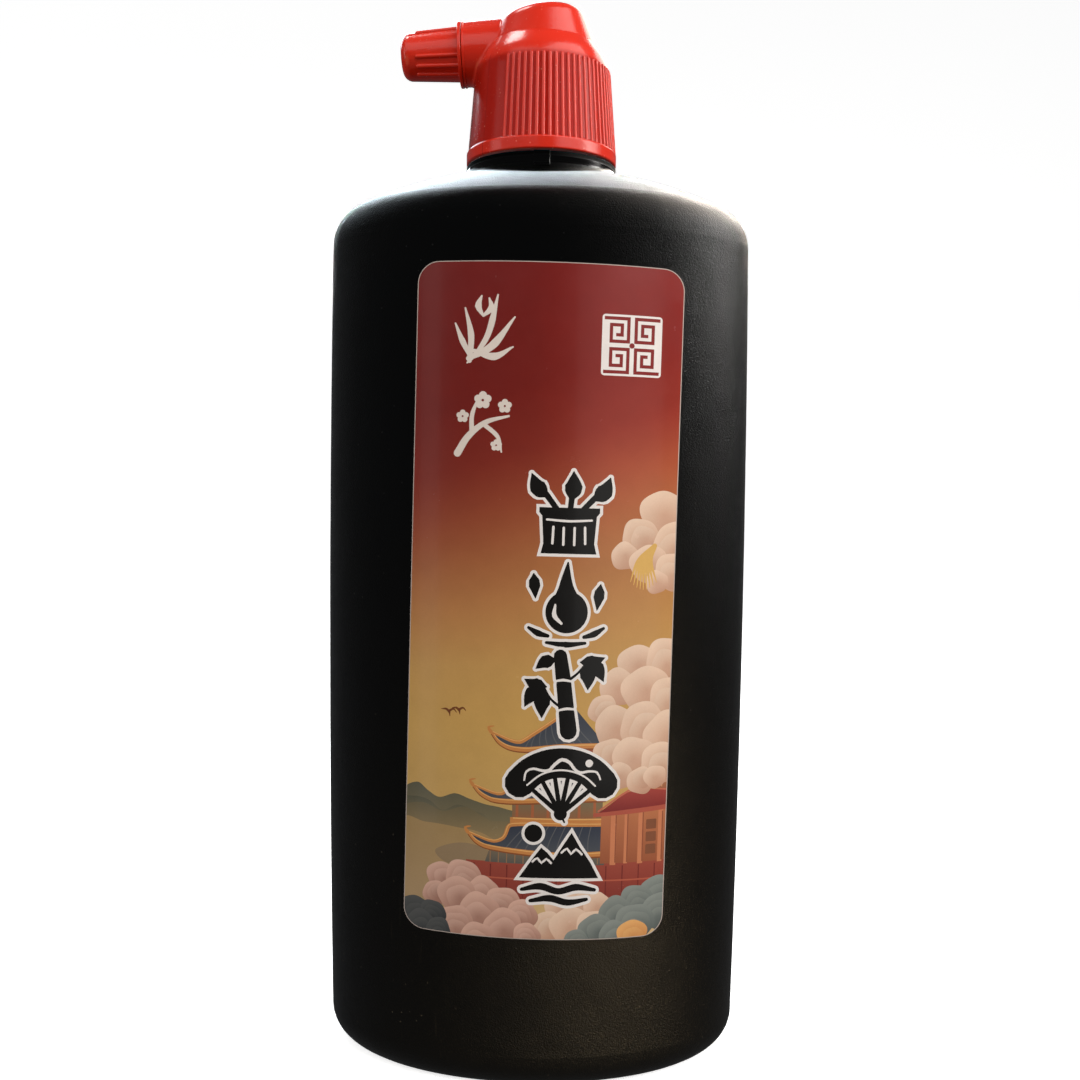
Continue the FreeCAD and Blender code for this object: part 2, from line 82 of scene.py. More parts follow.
class Finish:
    """A node material under construction."""

    def __init__(self, name, **sockets):
        self.material = bpy.data.materials.new(name)
        self.material.use_nodes = True
        self.tree = self.material.node_tree
        self.shader = self.tree.nodes["Principled BSDF"]
        for key, value in sockets.items():
            self.shader.inputs[key.replace("_", " ")].default_value = value
        self.place = self.node("ShaderNodeTexCoord").outputs["Object"]

    def node(self, kind, **settings):
        made = self.tree.nodes.new(kind)
        for key, value in settings.items():
            setattr(made, key, value)
        return made

    def feed(self, socket, value):
        if isinstance(value, bpy.types.NodeSocket):
            self.tree.links.new(value, socket)
        else:
            socket.default_value = value

    def math(self, operation, a, b=0.0, c=0.0, clamp=False):
        made = self.node("ShaderNodeMath", operation=operation, use_clamp=clamp)
        for socket, value in zip(made.inputs, (a, b, c)):
            self.feed(socket, value)
        return made.outputs[0]

    def span(self, value, low, high, to_low=0.0, to_high=1.0):
        """value between low and high, smoothly, as to_low to to_high."""
        made = self.node("ShaderNodeMapRange", interpolation_type="SMOOTHSTEP")
        for socket, v in zip(made.inputs, (value, low, high, to_low, to_high)):
            self.feed(socket, v)
        return made.outputs[0]

    def stretched(self, scale, turn):
        """The object's coordinates turned by those degrees and scaled."""
        made = self.node("ShaderNodeMapping")
        self.feed(made.inputs["Vector"], self.place)
        made.inputs["Rotation"].default_value = [math.radians(a) for a in turn]
        made.inputs["Scale"].default_value = scale
        return made.outputs[0]

    def noise(self, scale, detail=2.0, rough=0.5, warp=0.0, place=None):
        made = self.node("ShaderNodeTexNoise")
        self.feed(made.inputs["Vector"], self.place if place is None else place)
        made.inputs["Scale"].default_value = scale
        made.inputs["Detail"].default_value = detail
        made.inputs["Roughness"].default_value = rough
        made.inputs["Distortion"].default_value = warp
        return made.outputs["Fac"]

    def specks(self, scale, size):
        """1 in small scattered dots, 0 elsewhere."""
        made = self.node("ShaderNodeTexVoronoi")
        self.feed(made.inputs["Vector"], self.place)
        made.inputs["Scale"].default_value = scale
        return self.span(made.outputs["Distance"], size * 0.6, size, 1.0, 0.0)

    def axes(self):
        made = self.node("ShaderNodeSeparateXYZ")
        self.feed(made.inputs[0], self.place)
        return made.outputs

    def blend(self, factor, a, b):
        made = self.node("ShaderNodeMix", data_type="RGBA")
        self.feed(made.inputs["Factor"], factor)
        for key, value in (("A", a), ("B", b)):
            socket = [s for s in made.inputs if s.name == key and s.type == "RGBA"][0]
            self.feed(socket, value if isinstance(value, bpy.types.NodeSocket) else (*value, 1.0))
        return [s for s in made.outputs if s.type == "RGBA"][0]

    def bump(self, height, depth, over=None):
        """A relief of depth metres for a height of 1, on its own or over another relief."""
        made = self.node("ShaderNodeBump")
        self.feed(made.inputs["Height"], height)
        made.inputs["Distance"].default_value = depth
        if over is not None:
            self.feed(made.inputs["Normal"], over)
        return made.outputs[0]

    def wear(self, **sockets):
        """Give the shader these values or links, and return the material."""
        for key, value in sockets.items():
            self.feed(self.shader.inputs[key.replace("_", " ")], value)
        return self.material


# ---------------------------------------------------------------- materials
COLLAR_FOOT = (0.1758, 0.1768)  # m, where the grained shoulder turns into the glossy collar
COLLAR_TOP = (0.1774, 0.1779)  # where the collar turns into the dull neck
RIBS_FOOT = (0.1808, 0.1814)  # where the cap's ribs begin and end
RIBS_TOP = (0.1985, 0.1970)
VALLEY_Z = 0.1812  # the valleys between the ribs lie on a cone: its radius at this height
VALLEY_R = 0.01482
VALLEY_TAPER = 0.0795
VALLEY_DEPTH = 0.00018
MOULD_LINE = math.radians(42)  # the mould's halves meet at this angle from the spout's line
MOULD_LINE_TOP = (0.1990, 0.1980)


def black_bottle():
    """Satin black polyethylene: fine grain, slightly wavy walls, faint scuffs and dust."""
    f = Finish("black_bottle", Specular_IOR_Level=0.24)
    _, y, z = f.axes()
    grain = f.noise(3400, 3.0, 0.65)
    waves = f.noise(42, 2.0, 0.5)
    scuff = f.noise(1.0, 3.0, 0.6, place=f.stretched((900, 900, 40), (0, 12, 0)))
    scuff = f.span(scuff, 0.66, 0.76)
    low = f.span(z, 0.11, 0.02)
    scuff = f.math("MULTIPLY", scuff, f.math("ADD", f.math("MULTIPLY", low, 0.8), 0.12))
    dust = f.specks(420, 0.09)
    patchy = f.span(f.noise(60, 3.0), 0.45, 0.7)
    dust = f.math("MULTIPLY", dust, patchy)
    seam = f.span(f.math("ABSOLUTE", y), 0.00008, 0.00022, 1.0, 0.0)
    colour = f.blend(f.noise(18, 4.0), (0.0010, 0.0009, 0.0007), (0.0022, 0.0020, 0.0015))
    colour = f.blend(f.math("MULTIPLY", scuff, 0.25), colour, (0.030, 0.028, 0.024))
    colour = f.blend(f.math("MULTIPLY", dust, 0.5), colour, (0.11, 0.105, 0.095))
    rough = f.math("ADD", f.math("MULTIPLY", f.noise(300, 4.0, 0.6), 0.14), 0.32)
    rough = f.math("ADD", rough, f.math("MULTIPLY", scuff, 0.12))
    grained = f.span(z, *COLLAR_FOOT, 1.0, 0.0)
    rough = f.math("MULTIPLY", rough, f.math("ADD", f.math("MULTIPLY", grained, 0.6), 0.4))
    grain = f.math("MULTIPLY", grain, grained)
    relief = f.bump(grain, 0.00010)
    relief = f.bump(waves, 0.0005, over=relief)
    relief = f.bump(seam, 0.00009, over=relief)
    rough = f.math("ADD", rough, f.span(z, *COLLAR_TOP, 0.0, 0.7), clamp=True)
    return f.wear(Base_Color=colour, Roughness=rough, Normal=relief)


def red_plastic(name, skirt):
    """Glossy red polypropylene with hairline scratches. skirt adds painted shade in the valleys between the
    ribs, and a mould line.
    """
    f = Finish(
        name,
        Specular_IOR_Level=0.28,
        Subsurface_Weight=0.12,
        Subsurface_Scale=0.0012,
        Subsurface_Radius=(1.0, 0.25, 0.12),
        Coat_Weight=0.05,
        Coat_Roughness=0.12,
    )
    tone = f.noise(110, 4.0, 0.6)
    colour = f.blend(tone, (0.50, 0.018, 0.007), (0.60, 0.025, 0.010))
    if skirt:
        x, y, z = f.axes()
        out = f.math("SQRT", f.math("ADD", f.math("MULTIPLY", x, x), f.math("MULTIPLY", y, y)))
        drop = f.math("MULTIPLY", f.math("SUBTRACT", z, VALLEY_Z), VALLEY_TAPER)
        proud = f.math("SUBTRACT", out, f.math("SUBTRACT", VALLEY_R, drop))
        valley_shade = f.span(proud, 0.0, VALLEY_DEPTH, 1.0, 0.0)
        ribbed = f.math("MULTIPLY", f.span(z, *RIBS_FOOT), f.span(z, *RIBS_TOP))
        valley_shade = f.math("MULTIPLY", valley_shade, ribbed)
        # painted shade: the valleys between the ribs are darkened, and a black specular tint takes their
        # reflections away
        colour = f.blend(f.math("MULTIPLY", valley_shade, 0.8), colour, (0.27, 0.007, 0.004))
        valley_shade_tint = f.blend(f.math("MULTIPLY", valley_shade, 0.9), (1.0, 1.0, 1.0), (0.0, 0.0, 0.0))
        f.wear(Specular_Tint=valley_shade_tint)
        across = f.math("MULTIPLY", f.math("ABSOLUTE", y), math.cos(MOULD_LINE))
        across = f.math("ADD", across, f.math("MULTIPLY", x, math.sin(MOULD_LINE)))
        line = f.span(f.math("ABSOLUTE", across), 0.00004, 0.00016, 1.0, 0.0)
        line = f.math("MULTIPLY", line, f.span(z, *MOULD_LINE_TOP))
        colour = f.blend(f.math("MULTIPLY", line, 0.6), colour, (0.20, 0.006, 0.004))
    hairs = f.noise(1.0, 2.0, 0.55, place=f.stretched((2600, 260, 2100), (25, 40, 15)))
    hairs = f.span(hairs, 0.68, 0.74)
    patchy = f.span(f.noise(160, 3.0), 0.5, 0.68)
    specks = f.math("MULTIPLY", f.specks(900, 0.16), patchy)
    colour = f.blend(f.math("MULTIPLY", specks, 0.35), colour, (0.78, 0.30, 0.20))
    colour = f.blend(f.math("MULTIPLY", hairs, 0.08), colour, (0.75, 0.16, 0.10))
    rough = f.math("ADD", f.math("MULTIPLY", f.noise(500, 3.0), 0.10), 0.15)
    rough = f.math("ADD", rough, f.math("MULTIPLY", hairs, 0.15))
    relief = f.bump(f.noise(1300, 3.0, 0.7), 0.00003)
    relief = f.bump(hairs, 0.00001, over=relief)
    return f.wear(Base_Color=colour, Roughness=rough, Normal=relief)


def foam():
    """White polyethylene foam with fine cells."""
    f = Finish("white_foam", Roughness=0.85)
    cells = f.noise(2200, 2.0, 0.7)
    colour = f.blend(cells, (0.72, 0.71, 0.66), (0.84, 0.83, 0.79))
    return f.wear(Base_Color=colour, Normal=f.bump(cells, 0.00006))


def black_ink():
    """Liquid ink, nearly black and faintly swirled."""
    f = Finish("black_ink", Specular_IOR_Level=0.5)
    swirl = f.noise(35, 4.0, 0.6, 1.2)
    colour = f.blend(swirl, (0.0025, 0.0025, 0.0032), (0.006, 0.006, 0.007))
    return f.wear(Base_Color=colour, Roughness=f.span(swirl, 0.0, 1.0, 0.03, 0.09))


def printed_film():
    """Glossy film over a print: the print is the mesh's own colour, with a fine dot grain."""
    f = Finish("printed_film", Specular_IOR_Level=0.36, Coat_Weight=0.2, Coat_Roughness=0.08)
    printed = f.node("ShaderNodeVertexColor", layer_name="print").outputs["Color"]
    dots = f.noise(3600, 2.0, 0.6)
    cloudy = f.noise(240, 4.0, 0.6)
    shade = f.math("ADD", f.math("MULTIPLY", dots, 0.10), f.math("MULTIPLY", cloudy, 0.16))
    shade = f.math("ADD", shade, 0.87)
    made = f.node("ShaderNodeVectorMath", operation="SCALE")
    f.feed(made.inputs[0], printed)
    f.feed(made.inputs["Scale"], shade)
    rough = f.math("ADD", f.math("MULTIPLY", f.noise(420, 3.0), 0.1), 0.2)
    relief = f.bump(f.noise(55, 2.0), 0.00022)
    relief = f.bump(f.noise(1500, 2.0), 0.000006, over=relief)
    return f.wear(Base_Color=made.outputs[0], Roughness=rough, Normal=relief)


# ---------------------------------------------------------------- label shapes
# Everything on the label is in mm from its lower left corner, u to the right and v up.
LABEL_W = 49.7
LABEL_H = 126.0
LABEL_CORNER = 4.0
LABEL_X = 1.75  # its middle on the bottle
LABEL_Z = 92.7
LABEL_LEAN = math.radians(1.0)
LABEL_FACE = 0.14  # height of the printed face over the bottle
LABEL_BACK = 0.03  # and of its back
LABEL_EDGE = 0.09  # height of the rounded cut edge
LABEL_CUT = 0.16  # width of the cut edge

BODY_A = 42.5  # the bottle's half width and half depth
BODY_B = 25.5
BARREL = ((0.0, 41.55), (88.0, 42.5), (167.7, 41.9))  # height and half width of the barrel's side


def barrel_arc():
    """Centre and radius of the circle through the barrel's three points, as (z, half width)."""
    (z1, a1), (z2, a2), (z3, a3) = BARREL
    m = np.array([[z2 - z1, a2 - a1], [z3 - z2, a3 - a2]], float) * 2
    k = np.array([z2 * z2 - z1 * z1 + a2 * a2 - a1 * a1, z3 * z3 - z2 * z2 + a3 * a3 - a2 * a2])
    cz, ca = np.linalg.solve(m, k)
    return cz, ca, math.hypot(z1 - cz, a1 - ca)


ARC_Z, ARC_A, ARC_R = barrel_arc()


def on_bottle(uv, height):
    """Points in metres at that height in mm over the bottle's front."""
    du = uv[:, 0] - LABEL_W / 2
    dv = uv[:, 1] - LABEL_H / 2
    c, s = math.cos(LABEL_LEAN), math.sin(LABEL_LEAN)
    x = LABEL_X + du * c + dv * s
    z = LABEL_Z - du * s + dv * c
    a = ARC_A + np.sqrt((ARC_R + height) ** 2 - (z - ARC_Z) ** 2)
    y = -(BODY_B + height) / (BODY_A + height) * np.sqrt(a * a - x * x)
    return np.stack([x, y, z], 1) * MM


def facing(uv):
    """The bottle's outward normal at those label points."""
    step = 0.05
    across = on_bottle(uv + (step, 0), 0.1) - on_bottle(uv - (step, 0), 0.1)
    upward = on_bottle(uv + (0, step), 0.1) - on_bottle(uv - (0, step), 0.1)
    n = np.cross(across, upward)
    return n / np.linalg.norm(n, axis=1)[:, None]


def smooth(points, closed=False, step=0.45):
    """A rounded curve through the points, in pieces about a step long."""
    p = [np.array(q, float) for q in points]
    n = len(p)
    made = []
    for i in range(n if closed else n - 1):
        a, b = p[i], p[(i + 1) % n]
        before = p[i - 1] if closed or i else 2 * a - b
        after = p[(i + 2) % n] if closed or i + 2 < n else 2 * b - a
        parts = max(2, int(np.linalg.norm(b - a) / step))
        for k in range(parts):
            t = k / parts
            made.append(
                0.5 * ((2 * a) + (b - before) * t + (2 * before - 5 * a + 4 * b - after) * t * t
                       + (3 * a - before - 3 * b + after) * t ** 3)
            )
    if not closed:
        made.append(p[-1])
    return np.array(made)


def circle(cu, cv, r, step=0.4):
    t = np.linspace(0, 2 * math.pi, max(14, int(2 * math.pi * r / step)), endpoint=False)
    return np.stack([cu + r * np.cos(t), cv + r * np.sin(t)], 1)


def stroke(points, widths, grow=0.0, step=0.45):
    """A brush stroke: a band along the points, as wide as widths and grow say, with round ends."""
    line = smooth(points, step=step)
    steps = np.linalg.norm(np.diff(line, axis=0), axis=1)
    along = np.concatenate([[0], np.cumsum(steps)])
    half = np.interp(along / along[-1], np.linspace(0, 1, len(widths)), widths) / 2 + grow
    ahead = np.gradient(line, axis=0)
    ahead /= np.linalg.norm(ahead, axis=1)[:, None]
    side = np.stack([-ahead[:, 1], ahead[:, 0]], 1)

    def round_end(centre, direction, r):
        a0 = math.atan2(direction[1], direction[0])
        t = a0 + np.linspace(math.pi / 2, -math.pi / 2, 7)[1:-1]
        return centre + r * np.stack([np.cos(t), np.sin(t)], 1)

    left = line + side * half[:, None]
    right = line - side * half[:, None]
    return np.concatenate([
        left, round_end(line[-1], ahead[-1], half[-1]),
        right[::-1], round_end(line[0], -ahead[0], half[0]),
    ])


def rounded_box(u0, v0, u1, v1, r, parts=6):
    left, right, low, high = u0 + r, u1 - r, v0 + r, v1 - r
    made = []
    for cu, cv, start in ((right, high, 0), (left, high, 90), (left, low, 180), (right, low, 270)):
        for k in range(parts + 1):
            t = math.radians(start + 90 * k / parts)
            made.append((cu + r * math.cos(t), cv + r * math.sin(t)))
    return np.array(made)


def band(a, b, width):
    """A straight bar from a to b with square ends."""
    a, b = np.array(a, float), np.array(b, float)
    d = (b - a) / np.linalg.norm(b - a)
    s = np.array([-d[1], d[0]]) * width / 2
    d = d * width / 2
    return np.array([a - d + s, a - d - s, b + d - s, b + d + s])


# ---------------------------------------------------------------- label artwork
INK = (15, 12, 9)
INK_EDGE = (232, 224, 218)
INK_RIM = 0.55  # width of the light rim round a mark


class Art:
    """Painted regions in order, each an outline and a 0-255 colour or a rule that gives one."""

    def __init__(self):
        self.layers = []

    def paint(self, outline, colour):
        self.layers.append((np.asarray(outline, float), colour))

    def ink_mark(self, mark, u, v, size):
        """A bold mark: every part first light and a little larger, then black, then the light details."""
        parts, details = mark
        for kind, *spec in parts:
            self.paint((u, v) + size * np.array(kind(*spec, grow=INK_RIM / size)), INK_EDGE)
        for kind, *spec in parts:
            self.paint((u, v) + size * np.array(kind(*spec)), INK)
        for kind, *spec in details:
            self.paint((u, v) + size * np.array(kind(*spec)), INK_EDGE)


def fade(low, high, v0, v1):
    """A rule: from colour low at height v0 to colour high at v1."""
    low, high = np.array(low, float), np.array(high, float)

    def rule(uv):
        t = np.clip((uv[:, 1] - v0) / (v1 - v0), 0, 1)[:, None]
        return low + (high - low) * t

    return rule


SKY = (  # height and colour
    (0, (206, 172, 124)), (14, (200, 164, 108)), (26, (196, 156, 92)), (40, (197, 154, 86)),
    (52, (192, 146, 84)), (62, (182, 126, 74)), (72, (164, 100, 60)), (82, (146, 70, 44)),
    (92, (124, 40, 28)), (104, (112, 26, 19)), (126, (110, 23, 19)),
)
SKY_U = 22  # where the bands have their own height
SKY_LEAN = 0.30  # and how much higher they lie to its right, for each mm
SKY_GLOW = 0.16  # how much brighter the upper right is


def sky(uv):
    """The evening sky's colour at those label points."""
    right, up = uv[:, 0] - SKY_U, uv[:, 1]
    v = up - SKY_LEAN * right * np.clip((up - 45) / 30, 0, 1)
    glow = 1 + SKY_GLOW * np.clip(right / 14, 0, 1) * np.clip((up - 70) / 20, 0, 1)
    heights, colours = [k[0] for k in SKY], np.array([k[1] for k in SKY], float)
    return np.stack([np.interp(v, heights, c) for c in colours.T], 1) * glow[:, None]


PUFF_STEP = 0.34


def puff(cu, cv, r, phase):
    """A slightly lumpy round outline."""
    t = np.linspace(0, 2 * math.pi, max(16, int(2 * math.pi * r / PUFF_STEP)), endpoint=False)
    r = r * (1 + 0.045 * np.sin(3 * t + phase) + 0.03 * np.sin(5 * t + 2.3 * phase))
    return np.stack([cu + r * np.cos(t), cv + r * np.sin(t)], 1)


def roll(cu, cv, r, width, light, dark):
    """A rule: a plump lobe, light at its upper left rim, darker inside and most of all below."""
    light, dark = np.array(light, float), np.array(dark, float)

    def rule(uv):
        away = (uv - (cu, cv)) / r
        inner = np.clip((1 - np.linalg.norm(away, axis=1)) * r / width, 0, 1) ** 1.5
        under = np.clip(0.5 + 0.5 * (away @ (0.42, -0.90)), 0, 1) ** 1.5
        shade = np.clip(0.30 * inner + 0.85 * under, 0, 1)[:, None]
        return light + (dark - light) * shade

    return rule


FOLD_REACH = 0.9  # share of a lobe's radius that its folds take up
FOLD_SHIFT = 0.72  # how far each fold moves to the lobe's back, as a share of their pace
FOLD_FADE = 0.03  # how much darker each fold is than the one round it


def cloud(art, lobes, light, dark, folds=2):
    """Overlapping plump lobes with nested folds. Each lobe is (u, v, radius, the way it faces)."""
    for i, (cu, cv, r, lean) in enumerate(lobes):
        a = math.radians(lean)
        count = folds - (i % 2 == 0)
        pace = FOLD_REACH / (count + 1)
        for k in range(count):
            size = r * (1 - pace * k)
            shift = r * pace * k * FOLD_SHIFT
            turn = a + 0.35 * math.sin(1.7 * i + 0.9 * k)
            pu, pv = cu - shift * math.cos(turn), cv - shift * math.sin(turn)
            tone = 1.0 - FOLD_FADE * k
            art.paint(
                puff(pu, pv, size, 1.3 * i + 0.5 * k),
                roll(pu, pv, size, min(0.95 * size, 2.6 * pace * r), [c * tone for c in light], dark),
            )


def disc(cu, cv, r, grow=0.0):
    return circle(cu, cv, r + grow)


def leaf(u0, v0, u1, v1, width, bend=0.0, grow=0.0):
    """A pointed brush leaf from one end to the other."""
    mid = ((u0 + u1) / 2 - bend * (v1 - v0), (v0 + v1) / 2 + bend * (u1 - u0))
    return stroke([(u0, v0), mid, (u1, v1)], [0.3, width * 0.9, width, width * 0.55, 0.12], grow)


def patch(points, grow=0.0):
    """A filled shape, its corners counted anticlockwise, pushed outwards by grow."""
    p = np.array(points, float)
    before, after = p - np.roll(p, 1, 0), np.roll(p, -1, 0) - p
    before /= np.linalg.norm(before, axis=1)[:, None]
    after /= np.linalg.norm(after, axis=1)[:, None]
    out = np.stack([before[:, 1] + after[:, 1], -before[:, 0] - after[:, 0]], 1)
    square = np.maximum((out * out).sum(1), 0.6)
    return p + 2 * grow * out / square[:, None]


# Five plain pictures of a writer's things, each about 13 mm across its own middle: what is black,
# and what is light over it.
BRUSH_POT = (
    [
        (patch, [(-4.6, -6.6), (4.6, -6.6), (4.2, -4.9), (4.5, -0.4), (5.0, 0.2), (5.0, 1.0), (-5.0, 1.0),
                 (-5.0, 0.2), (-4.5, -0.4), (-4.2, -4.9)]),
        (stroke, [(-2.0, 0.6), (-4.0, 3.2)], [0.9, 1.0]),
        (leaf, -3.7, 2.7, -6.4, 6.5, 2.7, 0.10),
        (stroke, [(0.1, 0.6), (0.3, 2.8)], [0.9, 1.0]),
        (leaf, 0.2, 2.2, 0.5, 7.0, 2.9, -0.04),
        (stroke, [(2.1, 0.6), (4.2, 2.8)], [0.9, 1.0]),
        (leaf, 3.9, 2.3, 6.6, 6.1, 2.8, -0.12),
    ],
    [
        (stroke, [(-3.7, -1.0), (0.0, -1.2), (3.7, -1.0)], [0.35, 0.4, 0.35]),
        (stroke, [(-2.6, -2.2), (-2.7, -4.9)], [0.4, 0.4]),
        (stroke, [(-0.9, -2.3), (-0.9, -5.1)], [0.4, 0.4]),
        (stroke, [(0.9, -2.3), (0.9, -5.1)], [0.4, 0.4]),
        (stroke, [(2.6, -2.2), (2.7, -4.9)], [0.4, 0.4]),
    ],
)
INK_DROP = (
    [
        (stroke, [(0.0, 6.6), (-0.2, 3.2), (0.0, -1.4)], [0.3, 2.4, 6.2]),
        (disc, 0.0, -1.6, 3.5),
        (leaf, -5.6, 4.6, -5.2, 0.6, 1.9, 0.0),
        (leaf, 5.5, 3.0, 5.0, -1.2, 1.8, 0.0),
        (stroke, [(-6.2, -4.3), (-4.6, -5.2), (-3.0, -5.6)], [0.5, 1.1, 0.6]),
        (stroke, [(6.2, -4.2), (4.6, -5.2), (3.0, -5.7)], [0.5, 1.1, 0.6]),
        (stroke, [(-3.2, -6.7), (0.0, -7.0), (3.2, -6.7)], [0.5, 1.0, 0.5]),
    ],
    [(stroke, [(-1.9, -0.4), (-2.0, -2.2), (-0.8, -3.5)], [0.3, 0.8, 0.4])],
)
BAMBOO = (
    [
        (stroke, [(0.9, -6.4), (0.5, -3.2)], [2.8, 2.6]),
        (stroke, [(0.4, -2.4), (-0.1, 1.6)], [2.6, 2.5]),
        (stroke, [(-0.2, 2.4), (-0.8, 6.2)], [2.5, 2.2]),
        (stroke, [(0.2, 1.8), (2.2, 3.4), (3.6, 5.2)], [0.5, 0.4, 0.4]),
        (stroke, [(0.2, -2.8), (-2.0, -1.2), (-3.4, 0.8)], [0.5, 0.4, 0.4]),
        (leaf, 3.4, 5.2, 6.5, 2.0, 2.6, 0.14),
        (leaf, 3.2, 4.9, 3.9, 0.6, 2.6, 0.08),
        (leaf, 2.6, 5.2, 6.6, 6.0, 2.2, -0.08),
        (leaf, -3.2, 0.8, -6.5, -2.4, 2.7, -0.14),
        (leaf, -3.1, 0.6, -3.6, -4.2, 2.7, -0.06),
        (leaf, -3.0, 1.0, -6.6, 2.2, 2.3, 0.08),
        (leaf, -1.6, 5.6, -4.8, 4.0, 2.2, -0.10),
    ],
    [
        (stroke, [(-0.9, -2.9), (0.5, -2.6), (1.9, -2.7)], [0.35, 0.45, 0.35]),
        (stroke, [(-1.4, 2.0), (-0.2, 2.2), (1.1, 2.0)], [0.35, 0.45, 0.35]),
    ],
)
FAN_FOOT = -5.6


def fan_point(r, degrees):
    """The point of the fan at that distance and direction from its foot."""
    a = math.radians(degrees)
    return (r * math.cos(a), FAN_FOOT + r * math.sin(a))


FAN = (
    [
        (stroke, [fan_point(8.6, t) for t in (36, 54, 72, 90, 108, 126, 144)], [5.0, 5.0]),
        (disc, 0.0, FAN_FOOT, 1.1),
        *[(stroke, [fan_point(1.0, t), fan_point(6.6, t)], [0.8, 0.7]) for t in range(40, 141, 20)],
        (stroke, [(0.0, FAN_FOOT), (0.7, -7.0)], [0.5, 0.3]),
    ],
    [
        (stroke, [fan_point(7.4, t) for t in (40, 56, 72, 88, 104, 120, 140)], [0.3, 0.3]),
        (stroke, [fan_point(8.4 + 0.8 * math.sin(0.16 * t), t) for t in range(42, 140, 8)], [0.3, 0.6, 0.3]),
        (disc, *fan_point(9.7, 62), 0.65),
    ],
)
PEAKS = (
    [
        (patch, [(-6.6, -2.2), (6.7, -2.2), (5.2, 0.6), (3.4, 3.2), (2.0, 5.6), (0.6, 3.4), (-0.9, 0.9),
                 (-2.0, 2.2), (-3.0, 3.0), (-4.2, 1.4)]),
        (stroke, [(-6.1, -4.2), (-3.0, -3.6), (0.0, -4.4), (3.0, -3.7), (6.1, -4.2)],
         [0.6, 1.2, 1.1, 1.2, 0.6]),
        (stroke, [(-4.6, -6.1), (-1.4, -5.6), (1.6, -6.3), (4.8, -5.8)], [0.6, 1.2, 1.1, 0.6]),
        (disc, -4.4, 5.4, 1.5),
    ],
    [
        (stroke, [(0.4, 2.2), (1.3, 2.9), (2.0, 2.0), (2.8, 2.8), (3.8, 1.9)], [0.35, 0.4, 0.35]),
        (stroke, [(-4.4, 0.6), (-3.6, 1.2), (-2.9, 0.4), (-2.1, 1.1), (-1.3, 0.4)], [0.35, 0.4, 0.35]),
    ],
)
MARKS = ((BRUSH_POT, 80.2), (INK_DROP, 63.8), (BAMBOO, 46.9), (FAN, 30.4), (PEAKS, 14.3))  # and its v
MARK_U = 29.5
MARK_SIZE = 1.12

ORCHID = [
    (stroke, [(9.8, 107.4), (12.2, 110.2), (13.8, 113.4), (15.2, 119.8)], [0.3, 1.0, 1.2, 0.3]),
    (stroke, [(10.2, 107.8), (10.4, 112.4), (9.2, 117.4)], [0.9, 1.2, 0.3]),
    (stroke, [(10.0, 108.2), (14.4, 110.6), (18.4, 115.8)], [0.9, 1.5, 0.3]),
    (stroke, [(10.6, 108.2), (8.8, 111.4), (7.4, 114.6)], [0.7, 1.1, 0.3]),
    (stroke, [(12.4, 116.2), (11.6, 117.8), (12.2, 119.6)], [0.5, 1.3, 0.3]),
    (stroke, [(12.6, 116.0), (14.0, 117.4), (13.6, 119.2)], [0.5, 1.2, 0.3]),
    (stroke, [(11.0, 109.6), (14.8, 108.6), (18.2, 110.4)], [0.7, 1.4, 0.3]),
]
BLOSSOM = [
    (stroke, [(8.4, 90.8), (10.4, 94.0), (13.6, 96.6), (17.8, 97.8)], [1.4, 1.2, 0.9, 0.4]),
    (stroke, [(11.0, 94.6), (11.0, 98.0), (12.4, 101.6)], [0.9, 0.8, 0.3]),
    (stroke, [(13.2, 96.2), (15.8, 94.0), (16.6, 91.2)], [0.8, 0.8, 0.3]),
]
BLOSSOM_HEADS = ((12.9, 100.6, 1.5), (17.0, 99.6, 1.2), (9.2, 97.6, 1.1), (15.6, 92.4, 1.0))


def flower(art, cu, cv, r, colour):
    for k in range(5):
        a = math.radians(90 + 72 * k)
        art.paint(circle(cu + 0.62 * r * math.cos(a), cv + 0.62 * r * math.sin(a), 0.48 * r, 0.25), colour)


PAPER_WHITE = (222, 208, 196)
FRET_AT = (34.4, 105.8)
FRET_SIZE = 11.2
FRET_WHITE = (232, 222, 216)
FRET_RED = (128, 30, 28)
FRET_TURNS = (
    (-2.1, -2.1), (2.1, -2.1), (2.1, 2.1), (-1.1, 2.1), (-1.1, -0.9), (0.9, -0.9), (0.9, 0.9), (0.1, 0.9),
)
FRET_LINE = 0.62


def fret_square(art):
    """A white square with four mirrored squared spirals and a dot cut out of it."""
    (u0, v0), size, half = FRET_AT, FRET_SIZE, FRET_SIZE / 2
    art.paint(rounded_box(u0, v0, u0 + size, v0 + size, 0.6), FRET_WHITE)
    for iu, su in ((0, 1), (1, -1)):
        for iv, sv in ((0, 1), (1, -1)):
            cu, cv = u0 + half * (iu + 0.5), v0 + half * (iv + 0.5)
            turns = [(cu + su * a, cv + sv * b) for a, b in FRET_TURNS]
            for a, b in zip(turns, turns[1:]):
                art.paint(band(a, b, FRET_LINE), FRET_RED)
    art.paint(circle(u0 + half, v0 + half, 0.5, 0.25), FRET_RED)


GOLD = (196, 128, 70)
GOLD_LIGHT = (222, 166, 100)
GOLD_DARK = (136, 78, 46)
RED_DARK = (112, 44, 38)
BEAM = (206, 146, 104)
TILE_LOW = (78, 80, 84)
TILE_HIGH = (54, 58, 70)
TILE_LINE = (92, 92, 94)


def bars(art, count, u, pace, v0, v1, width, colour):
    """A row of upright bars, the first at u."""
    for k in range(count):
        art.paint(band((u + pace * k, v0), (u + pace * k, v1), width), colour)


